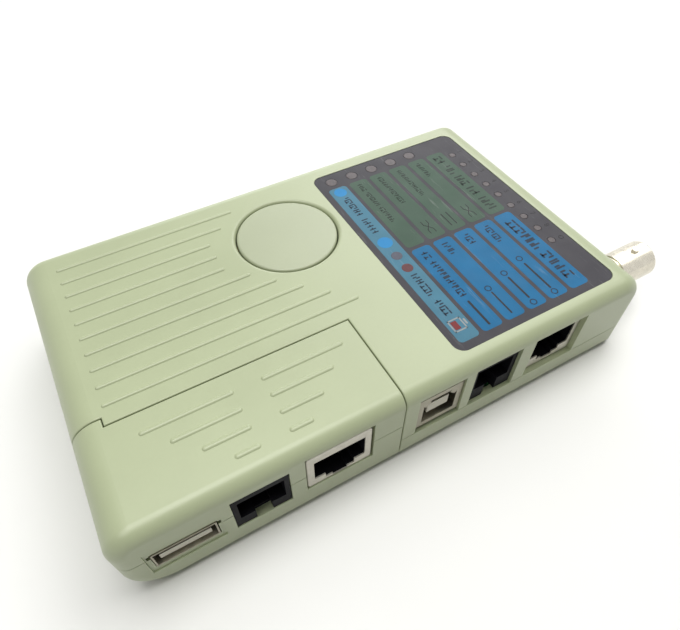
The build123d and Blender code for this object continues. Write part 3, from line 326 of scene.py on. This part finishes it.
class Print:
    """Flat closed shapes on one printed layer, gathered into one piece."""

    def __init__(self, name, ink, layer, slot="label_print"):
        self.name, self.ink, self.slot = name, ink, slot
        self.floor = LABEL_HIGH.z + (layer - 1) * FILM - 0.004 * MM * layer
        self.mesh = bmesh.new()

    def outline(self, points):
        """Extrudes a closed outline, given in millimetres."""
        top = self.floor + FILM
        lower = [self.mesh.verts.new((x * MM, y * MM, self.floor)) for x, y in points]
        upper = [self.mesh.verts.new((x * MM, y * MM, top)) for x, y in points]
        self.mesh.faces.new(upper)
        self.mesh.faces.new(list(reversed(lower)))
        for i in range(len(points)):
            j = (i + 1) % len(points)
            self.mesh.faces.new((lower[i], lower[j], upper[j], upper[i]))

    def panel(self, x0, x1, y0, y1, radius=CORNER):
        points = []
        for quarter, (cx, cy) in enumerate(((x1 - radius, y1 - radius), (x0 + radius, y1 - radius),
                                            (x0 + radius, y0 + radius), (x1 - radius, y0 + radius))):
            for step in range(7):
                angle = math.radians(90 * quarter + 15 * step)
                points.append((cx + radius * math.cos(angle), cy + radius * math.sin(angle)))
        self.outline(points)

    def line(self, start, end, width):
        """A stroke with round ends."""
        a, b = Vector(start), Vector(end)
        heading = math.atan2(b.y - a.y, b.x - a.x)
        points = []
        for tip, turn in ((b, -90), (a, 90)):
            for step in range(5):
                angle = heading + math.radians(turn + 45 * step)
                points.append((tip.x + width / 2 * math.cos(angle), tip.y + width / 2 * math.sin(angle)))
        self.outline(points)

    def disc(self, x, y, radius):
        turns = [math.tau * step / 28 for step in range(28)]
        self.outline([(x + radius * math.cos(t), y + radius * math.sin(t)) for t in turns])

    def ring(self, x, y, radius, width):
        """A round outline made of short strokes that share their ends."""
        count = 20
        for step in range(count):
            a, b = (math.tau * (step + side) / count for side in (0.0, 1.0))
            inner, outer = radius - width / 2, radius + width / 2
            self.outline([(x + r * math.cos(t), y + r * math.sin(t))
                          for r, t in ((inner, a), (outer, a), (outer, b), (inner, b))])

    def word(self, x, start, end, height, draw):
        """Stand-in for a printed word: a row of abstract marks, with no letters in it."""
        step = height * 0.80
        count = max(2, round(abs(end - start) / step))
        step = (end - start) / count
        stroke = height * 0.25
        for index in range(count):
            left = start + step * (index + 0.14)
            right = start + step * (index + 0.80)
            middle = (left + right) / 2
            low, high = x - height / 2, x + height / 2
            kind = draw.randrange(4)
            if kind == 0:
                self.line((low, left), (high, left), stroke)
                self.line((low, right), (x, right), stroke)
            elif kind == 1:
                self.line((low, middle), (high, middle), stroke)
                self.line((x, left), (x, middle), stroke)
            elif kind == 2:
                self.line((low, left), (low, right), stroke)
                self.line((high, left), (high, right), stroke)
                self.line((x, middle), (low, middle), stroke)
            else:
                self.line((low, right), (high, right), stroke)
                self.line((high, left), (x, left), stroke)

    def finish(self):
        bmesh.ops.recalc_face_normals(self.mesh, faces=self.mesh.faces)
        return piece(self.name, self.mesh, PRINT[self.ink], "master")


def piece(name, mesh, material, body):
    """Turns a bmesh into a scene object that rides on a body and takes the given material."""
    data = bpy.data.meshes.new(name)
    mesh.to_mesh(data)
    mesh.free()
    made = bpy.data.objects.new(name, data)
    bpy.context.scene.collection.objects.link(made)
    data.materials.append(material)
    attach(made, body)
    return made


def row(index):
    """Lower and upper edge of a row, counted from the title row."""
    top = ROW_TOP - index * ROW_PITCH
    return top - ROW_HEIGHT, top


def row_middle(index):
    return sum(row(index)) / 2


def label_panels():
    """Five green rows, five blue rows, and the battery row across both."""
    whole = (GREEN_SPAN[0], BLUE_SPAN[1])
    for name, ink, span, rows in (("label_green_rows", "green", GREEN_SPAN, range(BATTERY_ROW)),
                                  ("label_blue_rows", "blue", BLUE_SPAN, range(BATTERY_ROW)),
                                  ("label_battery_row", "pale_blue", whole, (BATTERY_ROW,))):
        layer = Print(name, ink, 1)
        for index in rows:
            low, high = row(index)
            layer.panel(low, high, span[1], span[0])
        layer.finish()


def label_words():
    """Marks in place of every printed word, drawn in reading order from one seeded sequence."""
    draw = random.Random(7)
    green = Print("label_green_words", "green_ink", 2)
    for start, end in GREEN_TITLE_WORDS:
        green.word(row_middle(0), start, end, TITLE_MARK[0], draw)
    for index, ends in GREEN_ROW_ENDS.items():
        start = GREEN_ROW_START
        for end in ends:
            green.word(row_middle(index) - 0.2, start, end, GREEN_MARK, draw)
            start = end - GREEN_WORD_GAP
    green.finish()
    blue = Print("label_blue_words", "blue_ink", 2)
    for start, end in BLUE_TITLE_WORDS:
        blue.word(row_middle(0), start, end, TITLE_MARK[1], draw)
    for index, ends in BLUE_ROW_ENDS.items():
        start = BLUE_ROW_START
        for end in ends:
            blue.word(row_middle(index) - 0.1, start, end, BLUE_MARK, draw)
            start = end - BLUE_WORD_GAP
    for start, end in BATTERY_WORDS:
        blue.word(row_middle(BATTERY_ROW), start, end, BLUE_MARK, draw)
    blue.finish()


def label_diagrams():
    """Wiring sketches: crossed pair, straight pair, crossed ends, and the coaxial faults."""
    ink = Print("label_wiring_sketches", "black_ink", 2)
    left, right = PAIR_SPAN
    for index in CROSSED_ROWS:
        x = row_middle(index)
        for side in (-1, 1):
            near, far = x + side * PAIR_GAP, x - side * PAIR_GAP
            ink.line((near, left), (near, left - PAIR_TAIL), HAIRLINE)
            ink.line((near, left - PAIR_TAIL), (far, right + PAIR_TAIL), HAIRLINE)
            ink.line((far, right + PAIR_TAIL), (far, right), HAIRLINE)
    x = row_middle(STRAIGHT_ROW)
    for side in (-1, 1):
        ink.line((x + side * PAIR_GAP, left), (x + side * PAIR_GAP, right), 0.30)
    for index, (start, end, width) in COAXIAL_LINES.items():
        x = row_middle(index) - COAXIAL_SHIFT
        ink.line((x, start), (x, end), width)
    ink.finish()
    rings = Print("label_wiring_rings", "blue_ink", 2)
    for index, places in COAXIAL_RINGS.items():
        for y in places:
            rings.ring(row_middle(index) - COAXIAL_SHIFT, y, 0.75, 0.28)
    rings.finish()


def label_battery_marks():
    """Two bright dots and a small battery symbol, half full."""
    x = row_middle(BATTERY_ROW)
    glow = Print("label_battery_dots", "bright_blue", 2)
    glow.disc(x, 24.6, 1.75)
    glow.disc(x, 1.9, 1.95)
    glow.finish()
    y = -28.1
    frame_ink = Print("label_battery_outline", "white_ink", 2)
    for side in (-1, 1):
        frame_ink.line((x - 1.7, y + side * 1.6), (x + 1.3, y + side * 1.6), 0.35)
        frame_ink.line((x + side * 1.5 - 0.2, y - 1.6), (x + side * 1.5 - 0.2, y + 1.6), 0.35)
    frame_ink.line((x + 2.0, y - 0.6), (x + 2.0, y + 0.6), 0.5)
    frame_ink.finish()
    level = Print("label_battery_level", "red_ink", 2)
    level.panel(x - 1.4, x + 0.1, y - 1.2, y + 1.2, 0.2)
    level.finish()


def label_digits():
    """Wire numbers beside the pin lamps, and a small ring for the screen."""
    low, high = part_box("pin_lamps")
    pitch = (high.y - low.y - 2 * PIN_LAMP_R * MM) / (PIN_LAMPS - 1)
    first = high.y - PIN_LAMP_R * MM
    for number in range(1, PIN_LAMPS):
        text = bpy.data.curves.new(f"label_digit_{number}", "FONT")
        text.body = str(number)
        text.size = DIGIT_SIZE * MM
        text.extrude = FILM / 2
        text.align_x = "CENTER"
        text.align_y = "CENTER"
        made = bpy.data.objects.new(f"label_digit_{number}", text)
        bpy.context.scene.collection.objects.link(made)
        made.rotation_euler.z = -math.pi / 2
        made.location = (DIGIT_X * MM, first - (number - 1) * pitch, LABEL_HIGH.z + FILM / 4)
        text.materials.append(PRINT["black_ink"])
        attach(made, "master")
    last = Print("label_screen_mark", "black_ink", 1)
    last.ring(DIGIT_X, (first - (PIN_LAMPS - 1) * pitch) / MM, 0.6, 0.25)
    last.finish()


label_panels()
label_words()
label_diagrams()
label_battery_marks()
label_digits()


# ---------------------------------------------------------------- floor, light and camera
FLOOR_HALF = 3.0           # metres
FLOOR_DROP = 0.05          # millimetres under the case, so that the two surfaces never coincide
CAMERA_PLACE = (-0.04375, -0.08254, 0.12137)
CAMERA_TILT = 39.59        # degrees up from straight down
CAMERA_TURN = -29.37       # degrees about the vertical
CAMERA_LENS = 29.68        # millimetres, on a 36 mm sensor
LAMP_SPREAD = 34           # degrees across, which sets how soft the shadows are
LAMPS = {
    # name: height and bearing in degrees, strength, colour
    "soft_top": (82, 80, 1.76, (1.0, 1.0, 0.97)),
    "soft_left": (66, 192, 0.90, (1.0, 0.99, 0.94)),
    "soft_right": (58, 0, 0.80, (1.0, 0.99, 0.94)),
    "soft_back": (42, 45, 0.95, (1.0, 1.0, 1.0)),
    "soft_rim": (18, 70, 0.55, (0.97, 1.0, 1.0)),
}


def studio():
    mesh = bmesh.new()
    bmesh.ops.create_grid(mesh, x_segments=2, y_segments=2, size=FLOOR_HALF)
    data = bpy.data.meshes.new("floor")
    mesh.to_mesh(data)
    mesh.free()
    floor = bpy.data.objects.new("floor", data)
    floor.location.z = -FLOOR_DROP * MM
    bpy.context.scene.collection.objects.link(floor)
    look = Look("floor_paper", Specular_IOR_Level=0.15)
    tone = look.mix(look.spread(look.noise(60, 3), 0.3, 0.7), (0.80, 0.80, 0.80), (0.82, 0.82, 0.82))
    look.bump(look.noise(0.8, 2), 0.005)
    data.materials.append(look.done(tone, look.spread(look.noise(3, 2), 0.3, 0.7, 0.6, 0.7)))

    # a white surround for the camera and for reflections, which adds no other light
    world = bpy.data.worlds.new("studio")
    world.use_nodes = True
    world.node_tree.nodes["Background"].inputs["Color"].default_value = (0.90, 0.90, 0.90, 1.0)
    world.cycles_visibility.diffuse = False
    bpy.context.scene.world = world

    for name, (height, bearing, strength, colour) in LAMPS.items():
        lamp = bpy.data.lights.new(name, "SUN")
        lamp.angle = math.radians(LAMP_SPREAD)
        lamp.energy = strength
        lamp.color = colour
        rise, turn = math.radians(height), math.radians(bearing)
        level = math.cos(rise)
        towards = Vector((level * math.cos(turn), level * math.sin(turn), math.sin(rise)))
        made = bpy.data.objects.new(name, lamp)
        made.rotation_euler = towards.to_track_quat("Z", "Y").to_euler()
        bpy.context.scene.collection.objects.link(made)

    lens_data = bpy.data.cameras.new("camera")
    lens_data.lens = CAMERA_LENS
    lens_data.sensor_width = 36.0
    lens_data.clip_start = 0.005
    camera = bpy.data.objects.new("camera", lens_data)
    camera.location = CAMERA_PLACE
    camera.rotation_euler = (math.radians(CAMERA_TILT), 0.0, math.radians(CAMERA_TURN))
    bpy.context.scene.collection.objects.link(camera)
    bpy.context.scene.camera = camera
    bpy.context.scene.view_settings.view_transform = "Standard"


studio()
